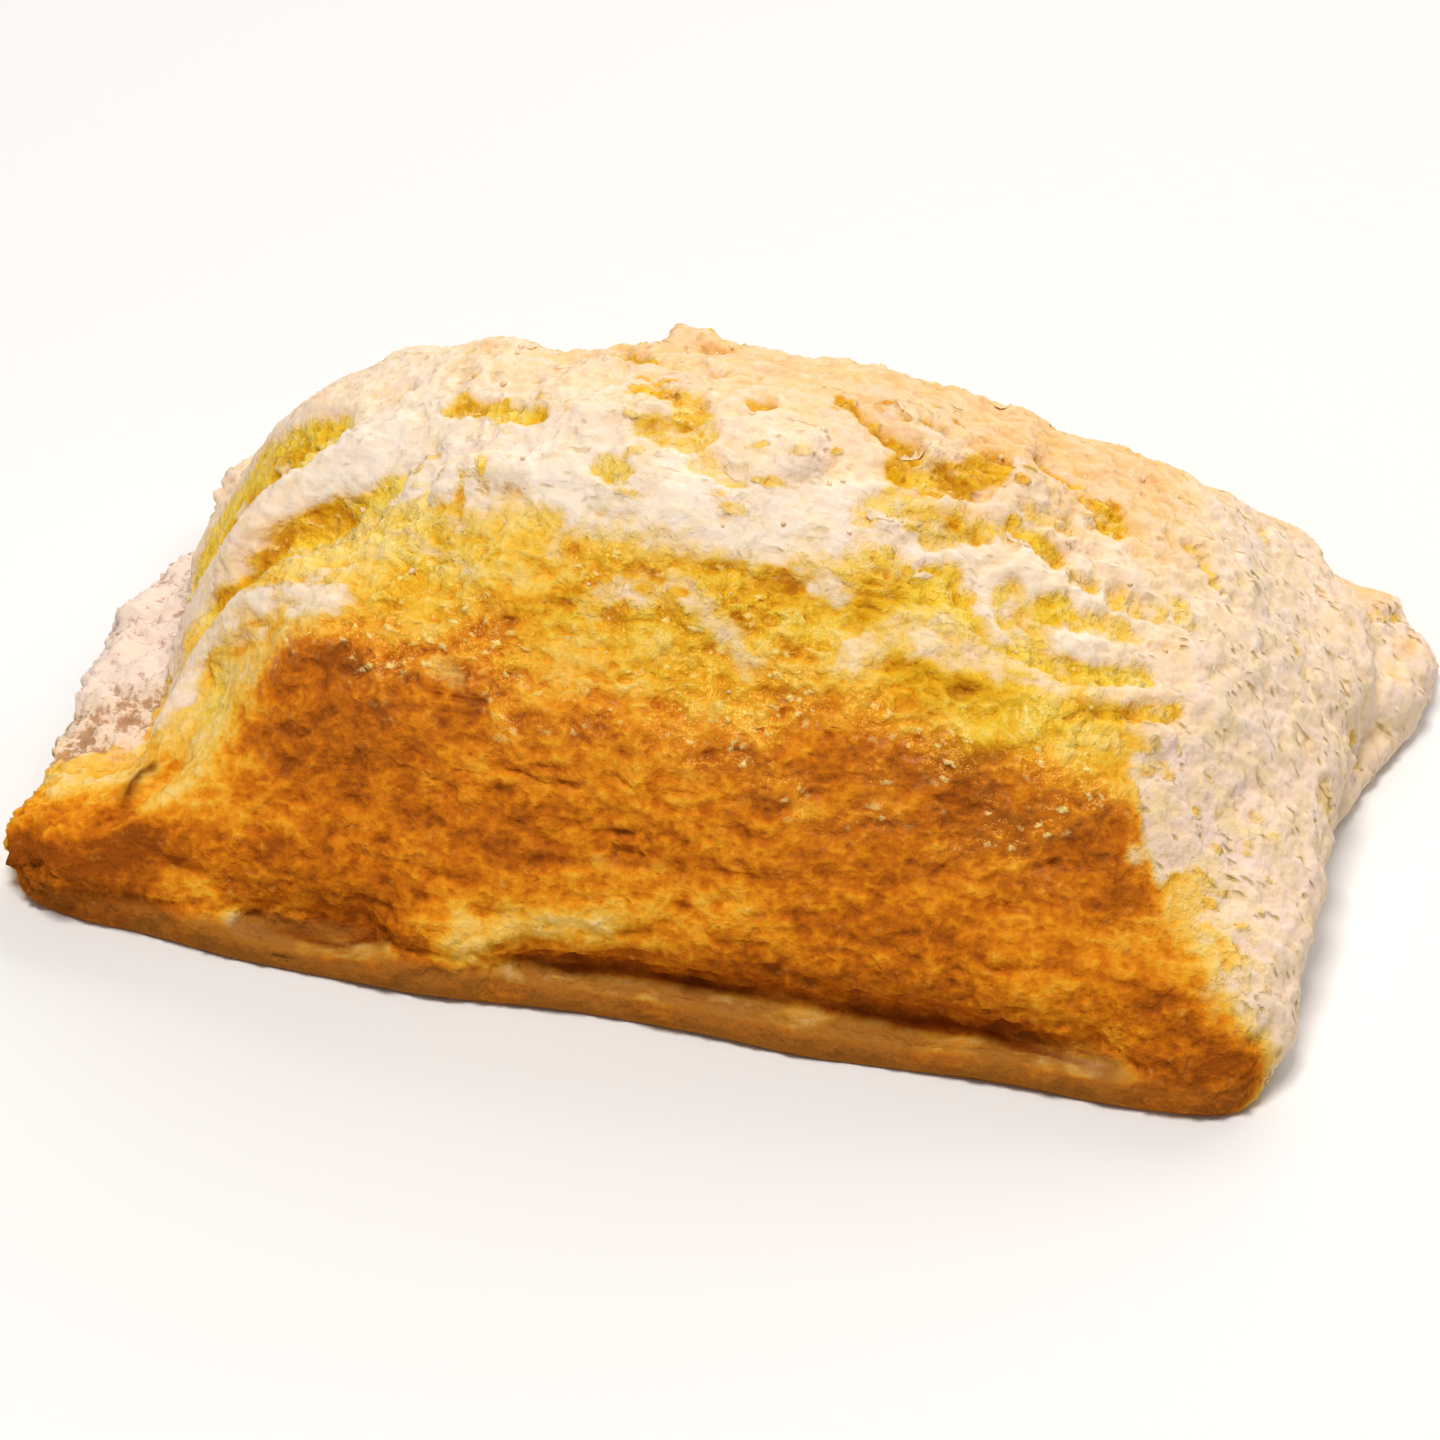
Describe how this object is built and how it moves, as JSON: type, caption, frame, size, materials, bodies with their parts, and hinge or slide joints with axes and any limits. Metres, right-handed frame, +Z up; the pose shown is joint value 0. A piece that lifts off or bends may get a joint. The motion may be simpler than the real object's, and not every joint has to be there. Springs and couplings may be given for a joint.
{
  "type": "chicken pie",
  "caption": "Rectangular pillow-shaped chicken pie of golden puff pastry, domed and flaky on top, pressed into ears at its corners and closed along a seam at its foot.",
  "frame": {"origin": "on the floor, under the middle of the pie's bounding box", "axes": "+X along the length, -Y towards the front with the open seam, +Z up"},
  "size_m": [0.1371, 0.0869, 0.0449],
  "materials": {
    "baked_crust": "baked puff pastry with an egg wash, half gloss"
  },
  "bodies": {
    "root": {"pie": "baked_crust"}
  },
  "joints": []
}
